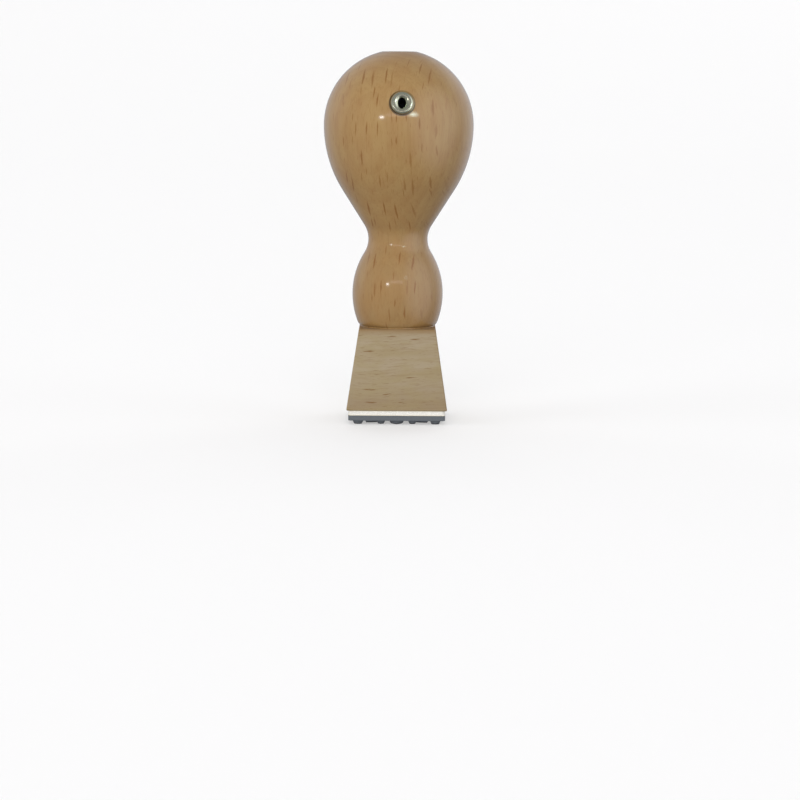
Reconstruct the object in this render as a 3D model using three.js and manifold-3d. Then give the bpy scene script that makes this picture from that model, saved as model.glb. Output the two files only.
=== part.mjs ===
// Wooden hand stamp: a turned beech handle, screwed to a tapered block that carries a cushioned rubber die.
// Millimetres, +Z up. The origin is the middle of the printing face, and the front, with its metal mark,
// faces -Y.

import * as THREE from 'three';
import { mergeVertices } from 'three/addons/utils/BufferGeometryUtils.js';
import Module from 'manifold-3d';

const wasm = await Module();
wasm.setup();

// Die: a square of engraving rubber whose raised motif prints
const DIE_SIDE = 24;
const DIE_CORNER = 0.8;
const RELIEF_DEPTH = 1.0;
const SHEET_THICKNESS = 1.3;

// Adhesive films on both faces of the foam cushion
const FILM_THICKNESS = 0.1;
const FOAM_THICKNESS = 1.0;

// Motif on the die: an eight-petal blossom, with a spot in each corner
const PETALS = 8;
const PETAL_INNER = 4.6;
const PETAL_OUTER = 10.8;
const PETAL_WIDTH = 3.2;
const EYE_RADIUS = 2.0;
const RING_INNER = 3.0;
const RING_OUTER = 3.8;
const SEED_RADIUS = 0.75;
const SEED_CIRCLE = 10.2;
const CORNER_SPOT_RADIUS = 1.0;
const CORNER_SPOT_OFFSET = 9.6;
const SHOULDER = 0.45; // how far a raised shape widens from its printing face down to the sheet
const ROOT_DEPTH = 0.4; // how far a raised shape reaches into the sheet that it grows from
const PETAL_STEPS = 10;
const EYE_SEGMENTS = 32;
const RING_SEGMENTS = 48;
const SEED_SEGMENTS = 16;
const CORNER_SPOT_SEGMENTS = 20;

// Block: a square frustum of beech
const BLOCK_BOTTOM_SIDE = 25;
const BLOCK_TOP_SIDE = 19;
const BLOCK_HEIGHT = 20;
const BLOCK_EASE = 0.35; // broken edges

// Handle profile, heights above its foot
const BULB_RADIUS = 18.6;
const BULB_HEIGHT = 50.0;
const CROWN_FLAT_RADIUS = 4.2; // flat left by the lathe centre on top
const FLANK_ANGLE = THREE.MathUtils.degToRad(32.4); // steepest lean of the flank between waist and bulb
const WAIST_RADIUS = 7.4;
const WAIST_HEIGHT = 21.8;
const WAIST_HOLLOW = 6.4; // radius of the hollow curve at the waist
const BELLY_RADIUS = 11.3;
const BELLY_HEIGHT = 8.2;
const BELLY_LOWER_CURVE = 20;
const FOOT_CORNER = 1.8;
const HANDLE_SEGMENTS = 72;
const HANDLE_STEPS = { foot: 5, bellyLower: 5, bellyUpper: 8, waist: 8, underBulb: 8, bulb: 16 };

// Countersunk wood screw that draws the handle down on the block
const SCREW_LENGTH = 35;
const SCREW_HEAD_RADIUS = 3.4;
const SCREW_HEAD_RIM = 0.2;
const SCREW_SHANK_RADIUS = 1.75;
const SCREW_CORE_RADIUS = 1.2;
const SCREW_SHANK_LENGTH = 16;
const SCREW_POINT_LENGTH = 3.5;
const SCREW_SUNK = 0.4; // head below the block's underside
const SCREW_SEGMENTS = 32;
const PILOT_DEPTH = 17.2;

// Front mark: a rolled metal eyelet, pressed into a hole in the bulb
const MARK_LATITUDE = THREE.MathUtils.degToRad(17.6);
const MARK_TURN = THREE.MathUtils.degToRad(2.5); // turned a little towards +X, as the handle was screwed on
const MARK_AXIS_RISE = THREE.MathUtils.degToRad(12); // its hole was drilled more level than the bulb's normal
const MARK_AXIS_TURN = THREE.MathUtils.degToRad(-1);
const MARK_SUNK = 0.2; // so deep its middle is pressed in
const MARK_HEIGHT = 0.85;
const MARK_LAND_INNER = 1.85; // the land is the flat ring on top
const MARK_LAND_OUTER = 2.2;
const MARK_EDGE_ROUND = 0.5; // from the land over to the sloping flank
const MARK_FLANK_ANGLE = THREE.MathUtils.degToRad(62);
const MARK_THROAT_ROUND = 0.9; // from the land down into the bore
const MARK_WALL = 0.35;
const MARK_LENGTH = 6;
const MARK_SEGMENTS = 40;

// Clearance between a piece and what it was cut to take
const GAP = 0.3;

// Levels of the stack, from the printing face up
const FOAM_FILM_BASE = RELIEF_DEPTH + SHEET_THICKNESS;
const FOAM_BASE = FOAM_FILM_BASE + FILM_THICKNESS;
const BLOCK_FILM_BASE = FOAM_BASE + FOAM_THICKNESS;
const BLOCK_BASE = BLOCK_FILM_BASE + FILM_THICKNESS;
const HANDLE_BASE = BLOCK_BASE + BLOCK_HEIGHT;

const FULL_TURN = 2 * Math.PI;
const QUARTER_TURN = Math.PI / 2;
const UP = new THREE.Vector3(0, 0, 1);

const MATERIALS = {
  lacqueredBeech: new THREE.MeshStandardMaterial({ color: 0xba9468, roughness: 0.25 }),
  bareBeech: new THREE.MeshStandardMaterial({ color: 0xb39a74, roughness: 0.65 }),
  nickel: new THREE.MeshStandardMaterial({ color: 0xb9bcae, roughness: 0.2, metalness: 1 }),
  zincSteel: new THREE.MeshStandardMaterial({ color: 0xa9adb0, roughness: 0.35, metalness: 1 }),
  adhesive: new THREE.MeshStandardMaterial({ color: 0xd9d2bd, roughness: 0.5 }),
  foam: new THREE.MeshStandardMaterial({ color: 0xe4e2dc, roughness: 0.95 }),
  rubber: new THREE.MeshStandardMaterial({ color: 0x55585a, roughness: 0.75 }),
};

// Merges shared vertices, and leaves out the triangles that a pole flattens to nothing
function closed(geometry) {
  geometry.deleteAttribute('normal');
  geometry.deleteAttribute('uv');
  const merged = mergeVertices(geometry, 1e-5);
  const index = merged.index.array;
  const kept = [];
  for (let i = 0; i < index.length; i += 3) {
    const [a, b, c] = index.subarray(i, i + 3);
    if (a !== b && b !== c && c !== a) kept.push(a, b, c);
  }
  return merged.setIndex(kept);
}

function solidOf(geometry) {
  return new wasm.Manifold(new wasm.Mesh({
    numProp: 3,
    vertProperties: geometry.attributes.position.array,
    triVerts: Uint32Array.from(geometry.index.array),
  }));
}

function geometryOf(solid) {
  const mesh = solid.getMesh();
  const geometry = new THREE.BufferGeometry();
  geometry.setAttribute('position', new THREE.BufferAttribute(mesh.vertProperties, 3));
  return geometry.setIndex(new THREE.BufferAttribute(mesh.triVerts, 1));
}

function cut(body, tool) {
  return geometryOf(solidOf(body).subtract(solidOf(tool)));
}

function joined(geometries) {
  return geometryOf(geometries.map(solidOf).reduce((whole, next) => whole.add(next)));
}

function piece(name, geometry, material) {
  geometry.computeVertexNormals();
  const mesh = new THREE.Mesh(geometry, material);
  mesh.name = name;
  return mesh;
}

// Points along an arc of a profile: x is the radius from the axis, y is the height
function arc(centreX, centreY, radius, from, to, steps) {
  return Array.from({ length: steps + 1 }, (_, i) => {
    const angle = from + ((to - from) * i) / steps;
    return new THREE.Vector2(centreX + radius * Math.cos(angle), centreY + radius * Math.sin(angle));
  });
}

// Joins runs of points that share their end points
function joinRuns(runs) {
  const points = [];
  for (const point of runs.flat()) {
    if (!points.length || points.at(-1).distanceTo(point) > 1e-6) points.push(point);
  }
  return points;
}

// A profile turned about Z, listed with the material on its left
function turned(profile, segments) {
  return closed(new THREE.LatheGeometry(profile, segments).rotateX(QUARTER_TURN));
}

// A solid through level outlines that all have the same number of points, from the lowest up
function lofted(outlines) {
  const count = outlines[0].points.length;
  const positions = outlines.flatMap(({ points, z }) => points.flatMap((p) => [p.x, p.y, z]));
  const indices = [];
  for (let level = 0; level < outlines.length - 1; level++) {
    for (let i = 0; i < count; i++) {
      const a = level * count + i;
      const b = level * count + ((i + 1) % count);
      indices.push(a, b, b + count, a, b + count, a + count);
    }
  }
  const topStart = (outlines.length - 1) * count;
  for (const [a, b, c] of THREE.ShapeUtils.triangulateShape(outlines[0].points, [])) {
    indices.push(c, b, a, topStart + a, topStart + b, topStart + c);
  }
  const geometry = new THREE.BufferGeometry();
  geometry.setAttribute('position', new THREE.Float32BufferAttribute(positions, 3));
  return geometry.setIndex(indices);
}

// A square with round corners, counter-clockwise
function roundedSquare(side, corner, steps = 4) {
  const inset = side / 2 - corner;
  return [[1, 1], [-1, 1], [-1, -1], [1, -1]].flatMap(([x, y], i) => (
    arc(x * inset, y * inset, corner, i * QUARTER_TURN, (i + 1) * QUARTER_TURN, steps)
  ));
}

function slab(side, corner, thickness) {
  const points = roundedSquare(side, corner);
  return lofted([{ points, z: 0 }, { points, z: thickness }]);
}

function makeHandle() {
  // The flank is straight between the hollow of the waist and the long curve under the bulb
  const hollowCentre = new THREE.Vector2(WAIST_RADIUS + WAIST_HOLLOW, WAIST_HEIGHT);
  const flankStart = new THREE.Vector2(
    hollowCentre.x - WAIST_HOLLOW * Math.cos(FLANK_ANGLE),
    hollowCentre.y + WAIST_HOLLOW * Math.sin(FLANK_ANGLE),
  );
  const lean = Math.tan(FLANK_ANGLE);
  const underCurve = (BULB_RADIUS - flankStart.x - lean * (BULB_HEIGHT - flankStart.y))
    / (1 - Math.cos(FLANK_ANGLE) - lean * Math.sin(FLANK_ANGLE));

  // The belly's upper curve runs into the hollow where the two circles touch
  const rise = WAIST_HEIGHT - BELLY_HEIGHT;
  const swell = BELLY_RADIUS - WAIST_RADIUS;
  const bellyUpperCurve = (swell ** 2 + rise ** 2) / (2 * swell) - WAIST_HOLLOW;
  const bellyUpperCentreX = BELLY_RADIUS - bellyUpperCurve;
  const bellyTurn = Math.asin(rise / (bellyUpperCurve + WAIST_HOLLOW));

  // The belly's lower curve runs into the small round at the foot
  const lowerCentreX = BELLY_RADIUS - BELLY_LOWER_CURVE;
  const footFlat = lowerCentreX
    + Math.sqrt((BELLY_LOWER_CURVE - FOOT_CORNER) ** 2 - (BELLY_HEIGHT - FOOT_CORNER) ** 2);
  const footTurn = Math.atan2(BELLY_HEIGHT - FOOT_CORNER, footFlat - lowerCentreX);

  const crownTurn = Math.acos(CROWN_FLAT_RADIUS / BULB_RADIUS);
  const crownHeight = BULB_HEIGHT + BULB_RADIUS * Math.sin(crownTurn);
  const pilotRadius = SCREW_CORE_RADIUS + GAP;

  const profile = joinRuns([
    [new THREE.Vector2(0, PILOT_DEPTH + pilotRadius / 2)],
    [new THREE.Vector2(pilotRadius, PILOT_DEPTH), new THREE.Vector2(pilotRadius, 0)],
    arc(footFlat, FOOT_CORNER, FOOT_CORNER, -QUARTER_TURN, -footTurn, HANDLE_STEPS.foot),
    arc(lowerCentreX, BELLY_HEIGHT, BELLY_LOWER_CURVE, -footTurn, 0, HANDLE_STEPS.bellyLower),
    arc(bellyUpperCentreX, BELLY_HEIGHT, bellyUpperCurve, 0, bellyTurn, HANDLE_STEPS.bellyUpper),
    arc(
      hollowCentre.x,
      hollowCentre.y,
      WAIST_HOLLOW,
      Math.PI + bellyTurn,
      Math.PI - FLANK_ANGLE,
      HANDLE_STEPS.waist,
    ),
    arc(BULB_RADIUS - underCurve, BULB_HEIGHT, underCurve, -FLANK_ANGLE, 0, HANDLE_STEPS.underBulb),
    arc(0, BULB_HEIGHT, BULB_RADIUS, 0, crownTurn, HANDLE_STEPS.bulb),
    [new THREE.Vector2(0, crownHeight)],
  ]);
  return turned(profile, HANDLE_SEGMENTS);
}

// Seat of the front mark, in the mark's own frame: a flat spot and a blind bore
function makeMarkSeat() {
  const spotRadius = Math.sqrt(2 * BULB_RADIUS * GAP) + GAP;
  const boreRadius = MARK_LAND_INNER - MARK_THROAT_ROUND + MARK_WALL + GAP;
  const boreEnd = -(MARK_LENGTH + GAP);
  return turned([
    new THREE.Vector2(0, boreEnd),
    new THREE.Vector2(boreRadius, boreEnd),
    new THREE.Vector2(boreRadius, -GAP),
    new THREE.Vector2(spotRadius, -GAP),
    new THREE.Vector2(spotRadius, MARK_HEIGHT),
    new THREE.Vector2(0, MARK_HEIGHT),
  ], MARK_SEGMENTS);
}

// One sheet of metal: a sloping flank, over the land and down the bore
function makeMark() {
  const steps = 8;
  const skin = (wall) => {
    const edge = arc(
      MARK_LAND_OUTER,
      MARK_HEIGHT - MARK_EDGE_ROUND,
      MARK_EDGE_ROUND - wall,
      QUARTER_TURN - MARK_FLANK_ANGLE,
      QUARTER_TURN,
      steps,
    );
    const throat = arc(
      MARK_LAND_INNER,
      MARK_HEIGHT - MARK_THROAT_ROUND,
      MARK_THROAT_ROUND - wall,
      QUARTER_TURN,
      Math.PI,
      steps,
    );
    const flankFoot = new THREE.Vector2(edge[0].x + edge[0].y / Math.tan(MARK_FLANK_ANGLE), 0);
    return [flankFoot, ...edge, ...throat, new THREE.Vector2(throat.at(-1).x, -MARK_LENGTH)];
  };
  const section = [...skin(0), ...skin(MARK_WALL).reverse()];
  return turned([...section, section[0].clone()], MARK_SEGMENTS);
}

function makeBlock() {
  const side = (z) => THREE.MathUtils.mapLinear(z, 0, BLOCK_HEIGHT, BLOCK_BOTTOM_SIDE, BLOCK_TOP_SIDE);
  const outline = (z, inset) => ({ points: roundedSquare(side(z) - 2 * inset, BLOCK_EASE, 3), z });
  const body = lofted([
    outline(0, BLOCK_EASE),
    outline(BLOCK_EASE, 0),
    outline(BLOCK_HEIGHT - BLOCK_EASE, 0),
    outline(BLOCK_HEIGHT, BLOCK_EASE),
  ]);

  // The countersink keeps its clearance square to the 90 degree cone of the head
  const holeRadius = SCREW_SHANK_RADIUS + GAP;
  const coneAtBase = SCREW_HEAD_RADIUS + SCREW_SUNK + SCREW_HEAD_RIM + GAP * Math.SQRT2;
  const past = 1;
  const hole = turned([
    new THREE.Vector2(0, -past),
    new THREE.Vector2(coneAtBase + past, -past),
    new THREE.Vector2(holeRadius, coneAtBase - holeRadius),
    new THREE.Vector2(holeRadius, BLOCK_HEIGHT + past),
    new THREE.Vector2(0, BLOCK_HEIGHT + past),
  ], SCREW_SEGMENTS);
  return cut(body, hole);
}

function makeScrew() {
  const coneEnd = SCREW_HEAD_RIM + SCREW_HEAD_RADIUS - SCREW_SHANK_RADIUS;
  return turned([
    new THREE.Vector2(0, 0),
    new THREE.Vector2(SCREW_HEAD_RADIUS, 0),
    new THREE.Vector2(SCREW_HEAD_RADIUS, SCREW_HEAD_RIM),
    new THREE.Vector2(SCREW_SHANK_RADIUS, coneEnd),
    new THREE.Vector2(SCREW_SHANK_RADIUS, SCREW_SHANK_LENGTH),
    new THREE.Vector2(SCREW_CORE_RADIUS, SCREW_SHANK_LENGTH + SCREW_CORE_RADIUS),
    new THREE.Vector2(SCREW_CORE_RADIUS, SCREW_LENGTH - SCREW_POINT_LENGTH),
    new THREE.Vector2(0, SCREW_LENGTH),
  ], SCREW_SEGMENTS);
}

// How much a raised shape has widened at its root inside the sheet
const ROOT_Z = RELIEF_DEPTH + ROOT_DEPTH;
const ROOT_WIDENING = (SHOULDER * ROOT_Z) / RELIEF_DEPTH;

// A pointed petal along Y between two equal arcs, with its middle at the origin, grown evenly on all sides
function petalOutline(grown) {
  const halfLength = (PETAL_OUTER - PETAL_INNER) / 2;
  const halfWidth = PETAL_WIDTH / 2;
  const sideRadius = (halfLength ** 2 + halfWidth ** 2) / (2 * halfWidth);
  const centreOffset = sideRadius - halfWidth;
  const radius = sideRadius + grown;
  const half = Math.acos(centreOffset / radius);
  const right = arc(-centreOffset, 0, radius, -half, half, PETAL_STEPS);
  const left = arc(centreOffset, 0, radius, Math.PI - half, Math.PI + half, PETAL_STEPS);
  return [...right.slice(0, PETAL_STEPS), ...left.slice(0, PETAL_STEPS)];
}

function makePetal() {
  return lofted([{ points: petalOutline(0), z: 0 }, { points: petalOutline(ROOT_WIDENING), z: ROOT_Z }]);
}

function makeSpot(radius, segments) {
  return turned([
    new THREE.Vector2(0, 0),
    new THREE.Vector2(radius, 0),
    new THREE.Vector2(radius + ROOT_WIDENING, ROOT_Z),
    new THREE.Vector2(0, ROOT_Z),
  ], segments);
}

function makeRing() {
  return turned([
    new THREE.Vector2(RING_INNER, 0),
    new THREE.Vector2(RING_OUTER, 0),
    new THREE.Vector2(RING_OUTER + ROOT_WIDENING, ROOT_Z),
    new THREE.Vector2(RING_INNER - ROOT_WIDENING, ROOT_Z),
    new THREE.Vector2(RING_INNER, 0),
  ], RING_SEGMENTS);
}

function makeDie() {
  const sheet = slab(DIE_SIDE, DIE_CORNER, SHEET_THICKNESS).translate(0, 0, RELIEF_DEPTH);
  const petal = makePetal().translate(0, (PETAL_INNER + PETAL_OUTER) / 2, 0);
  const seed = makeSpot(SEED_RADIUS, SEED_SEGMENTS).translate(0, SEED_CIRCLE, 0);
  const cornerSpot = makeSpot(CORNER_SPOT_RADIUS, CORNER_SPOT_SEGMENTS);
  const raised = [makeSpot(EYE_RADIUS, EYE_SEGMENTS), makeRing()];
  for (let i = 0; i < PETALS; i++) {
    const turn = (FULL_TURN * i) / PETALS;
    raised.push(petal.clone().rotateZ(turn), seed.clone().rotateZ(turn + Math.PI / PETALS));
  }
  for (const x of [-CORNER_SPOT_OFFSET, CORNER_SPOT_OFFSET]) {
    for (const y of [-CORNER_SPOT_OFFSET, CORNER_SPOT_OFFSET]) {
      raised.push(cornerSpot.clone().translate(x, y, 0));
    }
  }
  return joined([sheet, ...raised]);
}

// A direction from the bulb's centre: no turn is the front, and positive is towards +X
function direction(turn, rise) {
  return new THREE.Vector3(
    Math.sin(turn) * Math.cos(rise),
    -Math.cos(turn) * Math.cos(rise),
    Math.sin(rise),
  );
}

// The mark's frame, whose Z is the axis of its hole
const markFrame = new THREE.Group();
markFrame.position
  .set(0, 0, BULB_HEIGHT)
  .addScaledVector(direction(MARK_TURN, MARK_LATITUDE), BULB_RADIUS - MARK_SUNK);
markFrame.quaternion.setFromUnitVectors(UP, direction(MARK_AXIS_TURN, MARK_AXIS_RISE));
markFrame.updateMatrix();
markFrame.add(piece('front_mark_eyelet', makeMark(), MATERIALS.nickel));

const markSeat = makeMarkSeat().applyMatrix4(markFrame.matrix);
const handleGroup = new THREE.Group();
handleGroup.position.z = HANDLE_BASE;
handleGroup.add(piece('handle', cut(makeHandle(), markSeat), MATERIALS.lacqueredBeech), markFrame);

const block = piece('mount_block', makeBlock(), MATERIALS.bareBeech);
block.position.z = BLOCK_BASE;

const screw = piece('handle_screw', makeScrew(), MATERIALS.zincSteel);
screw.position.z = BLOCK_BASE + SCREW_SUNK;

const film = slab(DIE_SIDE, DIE_CORNER, FILM_THICKNESS);
const blockFilm = piece('block_adhesive_film', film, MATERIALS.adhesive);
blockFilm.position.z = BLOCK_FILM_BASE;

const foam = piece('foam_cushion', slab(DIE_SIDE, DIE_CORNER, FOAM_THICKNESS), MATERIALS.foam);
foam.position.z = FOAM_BASE;

const dieFilm = piece('die_adhesive_film', film.clone(), MATERIALS.adhesive);
dieFilm.position.z = FOAM_FILM_BASE;

const die = piece('rubber_die', makeDie(), MATERIALS.rubber);

const group = new THREE.Group();
group.name = 'wooden_stamp';
group.add(handleGroup, block, screw, blockFilm, foam, dieFilm, die);

export default group;
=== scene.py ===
# Wooden hand stamp: the finish of every surface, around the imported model.
# Metres, in the model's own frame. Sizes that a maker would write are in millimetres and are turned by MM.

from math import acos, asin, atan2, cos, pi, radians, sin, sqrt, tan

import bmesh
import bpy
from mathutils import Matrix, Vector, noise


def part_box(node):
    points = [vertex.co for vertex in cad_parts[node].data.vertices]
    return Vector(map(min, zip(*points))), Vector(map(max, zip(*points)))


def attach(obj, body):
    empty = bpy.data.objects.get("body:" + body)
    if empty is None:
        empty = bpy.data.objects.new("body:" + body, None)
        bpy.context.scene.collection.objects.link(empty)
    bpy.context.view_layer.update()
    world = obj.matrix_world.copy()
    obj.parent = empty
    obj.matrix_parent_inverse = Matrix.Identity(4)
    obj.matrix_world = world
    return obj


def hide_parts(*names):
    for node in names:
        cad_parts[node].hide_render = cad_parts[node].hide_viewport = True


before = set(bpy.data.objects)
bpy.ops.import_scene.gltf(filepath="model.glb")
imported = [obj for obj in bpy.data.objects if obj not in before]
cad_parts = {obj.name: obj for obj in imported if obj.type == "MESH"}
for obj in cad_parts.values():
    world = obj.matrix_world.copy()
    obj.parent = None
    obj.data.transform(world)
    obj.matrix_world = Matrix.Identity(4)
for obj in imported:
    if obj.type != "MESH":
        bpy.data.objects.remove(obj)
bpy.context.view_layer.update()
MM = 0.001
SQUARE = ((-1, -1), (1, -1), (1, 1), (-1, 1))  # its corners, counter-clockwise

# Places that the frame gives
HANDLE_LOW, HANDLE_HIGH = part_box("handle")
BLOCK_LOW, BLOCK_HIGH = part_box("mount_block")
SCREW_LOW, SCREW_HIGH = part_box("handle_screw")
FOAM_LOW, FOAM_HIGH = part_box("foam_cushion")
DIE_LOW, DIE_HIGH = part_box("rubber_die")

# Handle profile, heights above its foot
BULB_RADIUS = HANDLE_HIGH.x
BULB_HEIGHT = 50.0 * MM
CROWN_FLAT_RADIUS = 4.2 * MM
FLANK_ANGLE = radians(32.4)
WAIST_RADIUS = 7.4 * MM
WAIST_HEIGHT = 21.8 * MM
WAIST_HOLLOW = 6.4 * MM
BELLY_RADIUS = 11.3 * MM
BELLY_HEIGHT = 8.2 * MM
BELLY_LOWER_CURVE = 20.0 * MM
FOOT_CORNER = 1.8 * MM
FOOT_BEAD = radians(30)  # where a bead of lacquer fills the corner under the foot
PILOT_RADIUS = 1.5 * MM
PILOT_DEPTH = 17.2 * MM

# How finely turned shapes are rounded: the handle, then the mark and the die's ring, then small ones
HANDLE_SEGMENTS = 192
RING_SEGMENTS = 96
SMALL_SEGMENTS = 64

# Front mark on the bulb
MARK_LATITUDE = radians(17.6)
MARK_TURN = radians(2.5)
MARK_AXIS_RISE = radians(12.0)
MARK_AXIS_TURN = radians(-1.0)
MARK_SUNK = 0.2 * MM
MARK_HEIGHT = 0.85 * MM
MARK_LAND_INNER = 1.85 * MM
MARK_LAND_OUTER = 2.2 * MM
MARK_EDGE_ROUND = 0.5 * MM
MARK_FLANK_ANGLE = radians(62)
MARK_THROAT_ROUND = 0.9 * MM
MARK_WALL = 0.35 * MM
MARK_LENGTH = 6.0 * MM
MARK_UNSHADED_BARREL = 0.3 * MARK_LENGTH  # how far down its barrel shows its own metal. Below that it has the bore's painted shade
MARK_SEAT = 0.25 * MM  # how far its flank goes on into the wood
SEAT_FIT = 0.02 * MM  # play between the mark and its seat, down in the wood
SEAT_LIP_PLAY = 0.12 * MM  # the same where the seat opens
BORE_NARROWED = 0.14  # share of the bore's width that pressing the mark in has taken
BORE_RAISED = 0.22  # share of the bore's height that it has added
PAINTED_SHADE_LINE = (3.3, 3.1)  # millimetres from its middle where the painted shade round it begins, and where it is full

# Block. Its sides lean in, so the frame's box, which begins above the broken bottom edge, is narrower
BLOCK_BASE_HALF = BLOCK_HIGH.x + 0.05 * MM
BLOCK_TOP_HALF = 9.5 * MM
BROKEN_EDGE = 0.35 * MM
SCREW_HOLE_RADIUS = 2.05 * MM
COUNTERSINK_RADIUS = 4.42 * MM
FOOT_SHADE_BAND = (21.8, 23.8)  # heights in millimetres between which warm shade from the handle's foot is painted on its top edge

# Camera: a 108 mm lens, 600 mm in front of the stamp and a little below the height of its top
LENS = 108.0
SENSOR_WIDTH = 36.0
CAMERA_PLACE = Vector((0.8, -600.0, 83.4)) * MM
CAMERA_AIM = Vector((0.8, 0.0, 4.66)) * MM
CAMERA_ROLL = 0.0073

# Screw, its head sunk in the block's underside
SCREW_HEAD_RADIUS = 3.4 * MM
SCREW_HEAD_RIM = 0.2 * MM
SCREW_SHANK_RADIUS = 1.75 * MM
SCREW_CORE_RADIUS = 1.2 * MM
SCREW_SHANK_LENGTH = 16.0 * MM
SCREW_POINT_LENGTH = 3.5 * MM
THREAD_PITCH = 1.6 * MM
THREAD_SUNK = 0.15 * MM  # how far the ridge reaches into the core
THREAD_ROOT_HALF = 0.45 * MM
THREAD_CREST_HALF = 0.06 * MM
THREAD_START = 0.6 * MM  # beyond the shank. The thread ends as far before the point
RECESS_REACH = 1.9 * MM
RECESS_HALF_WIDTH = 0.42 * MM
RECESS_DEPTH = 1.9 * MM
RECESS_ROOT = (0.35, 0.8)  # shares of its reach and its width that are left at its root

# Foam: its sides belly out half-way up, and are cut through its cells
FOAM_BELLY = 0.07 * MM
FOAM_CELL = 0.22 * MM
FOAM_CELL_DEPTH = 0.05 * MM

# Die: the relief's printing face lies at the bottom
DIE_CORNER = 0.8 * MM
RELIEF_DEPTH = 1.0 * MM
ROOT_DEPTH = 0.4 * MM
SHOULDER = 0.45 * MM
WORN_EDGE = 0.06 * MM
SOFT_EDGE = 0.08 * MM
PETALS = 8
PETAL_INNER = 4.6 * MM
PETAL_OUTER = 10.8 * MM
PETAL_WIDTH = 3.2 * MM
EYE_RADIUS = 2.0 * MM
RING_INNER = 3.0 * MM
RING_OUTER = 3.8 * MM
SEED_RADIUS = 0.75 * MM
SEED_CIRCLE = 10.2 * MM
CORNER_SPOT_RADIUS = 1.0 * MM
CORNER_SPOT_OFFSET = 9.6 * MM

# Soft light, which no gloss mirrors: its azimuth, elevation and strength. Azimuth 0 is the front, + is right
SUNS = ((0, 38, 0.2), (-4, 8, 0.45), (-70, 20, 0.26), (70, 20, 0.13), (-140, 15, 0.27), (140, 15, 0.36),
        (180, 35, 0.3), (-60, -20, 0.09))
ROOM_LIGHT = 0.52
FLOOR_GLOW = 0.42

# Small lamps: azimuth, elevation, width and height in degrees as the stamp sees them, brightness and tint
LAMPS = (
    (-26.3, 12.5, 6.0, 2.3, 30.0, "#ffffff"),
    (-2.5, 16.6, 33.0, 3.7, 2.2, "#ffe8ea"),
)
# A near lamp behind a grid, which only the bulb sees: as above, then the spread of its light in degrees
GRID_LAMP = (23.0, 16.8, 16.0, 5.0, 0.16, "#d8f6f0", 17.0)
GRID_LAMP_DISTANCE = 250 * MM
GRID_LAMP_AIM = Vector((3.6, -18.1, 77.0)) * MM
# Where the other lamps stand, and what they aim at
LAMP_DISTANCE = 2.0
LAMP_AIM = Vector((0, 0, 65 * MM))

# The room that gloss mirrors: its even light, and its bright and dark parts. A part has the azimuth and
# elevation of its middle, the angles from there to where it begins to fade and to where it ends, and what it
# adds to the light
MIRRORED_LIGHT = 0.36
MIRRORED_PARTS = (
    (60, 8, 10, 55, 1.15),
    (140, 10, 10, 40, 0.36),
    (-140, 20, 15, 50, 0.2),
    (-102, 12, 5, 25, 0.2),
    (0, -90, 50, 65, -0.15),
)

# Tones of the wood: its ground, its ground at the lower end, warmer clouds, streaked fibres and rays
HANDLE_TONES = ("#957749", "#8e7146", "#8f6d40", "#7f5c33", "#764a1c")
BLOCK_TONES = ("#93856d", "#88775e", "#8c7d5b", "#7c6546", "#674522")

# Growth rings of the wood, in its own millimetres: how far apart, and where their middle lies
RING_SPACING = 2.4
PITH = (-9.0, -60.0, 0.0)

# Rays of the wood, in its own millimetres: large ones, and the fine ones that both woods have
HANDLE_RAYS = {"spacing": (2.6, 6.5), "half_size": (0.4, 3.0), "share": 0.95, "faintest": 0.5}
BLOCK_RAYS = {"spacing": (3.4, 6.0), "half_size": (0.26, 2.3), "share": 0.8, "faintest": 0.15}
FINE_RAYS = {"spacing": (0.8, 2.6), "half_size": (0.16, 1.2), "share": 0.6, "faintest": 0.2}


def linear(code):
    """An sRGB hex colour as the linear values that Blender's sockets take, with a full alpha."""
    channels = [int(code[i:i + 2], 16) / 255 for i in (1, 3, 5)]
    return tuple(c / 12.92 if c <= 0.04045 else ((c + 0.055) / 1.055) ** 2.4 for c in channels) + (1.0,)


def node(tree, kind, inputs=None, **settings):
    """Adds a node, with its settings, and gives each named input a value or a link."""
    made = tree.nodes.new(kind)
    for name, value in settings.items():
        setattr(made, name, value)
    for key, value in (inputs or {}).items():
        if isinstance(value, bpy.types.NodeSocket):
            tree.links.new(value, made.inputs[key])
        else:
            made.inputs[key].default_value = value
    return made


# Meshes

def new_object(name, vertices, edges, faces):
    mesh = bpy.data.meshes.new(name)
    mesh.from_pydata([tuple(v) for v in vertices], edges, faces)
    obj = bpy.data.objects.new(name, mesh)
    bpy.context.scene.collection.objects.link(obj)
    return obj


def apply_modifiers(obj):
    """Keeps what the modifiers make as the object's plain mesh."""
    graph = bpy.context.evaluated_depsgraph_get()
    made = bpy.data.meshes.new_from_object(obj.evaluated_get(graph))
    obj.modifiers.clear()
    obj.data = made
    obj.data.name = obj.name


def boolean(obj, tool, operation):
    modifier = obj.modifiers.new(operation.lower(), "BOOLEAN")
    modifier.operation = operation
    modifier.object = tool
    modifier.solver = "EXACT"
    apply_modifiers(obj)
    bpy.data.objects.remove(tool)


def close_up(obj, sharp_angle=radians(40)):
    """Welds, turns the faces outwards, and leaves an edge only where the surface really turns."""
    work = bmesh.new()
    work.from_mesh(obj.data)
    bmesh.ops.remove_doubles(work, verts=work.verts, dist=0.0005 * MM)
    bmesh.ops.recalc_face_normals(work, faces=work.faces)
    for face in work.faces:
        face.smooth = True
    for edge in work.edges:
        edge.smooth = edge.is_manifold and edge.calc_face_angle(0) < sharp_angle
    work.to_mesh(obj.data)
    work.free()


def arc(centre_x, centre_y, radius, start, end, step):
    """Points along an arc of a profile, no further apart than the step."""
    count = max(2, round(abs(end - start) * radius / step))
    angles = [start + (end - start) * i / count for i in range(count + 1)]
    return [(centre_x + radius * cos(a), centre_y + radius * sin(a)) for a in angles]


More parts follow.
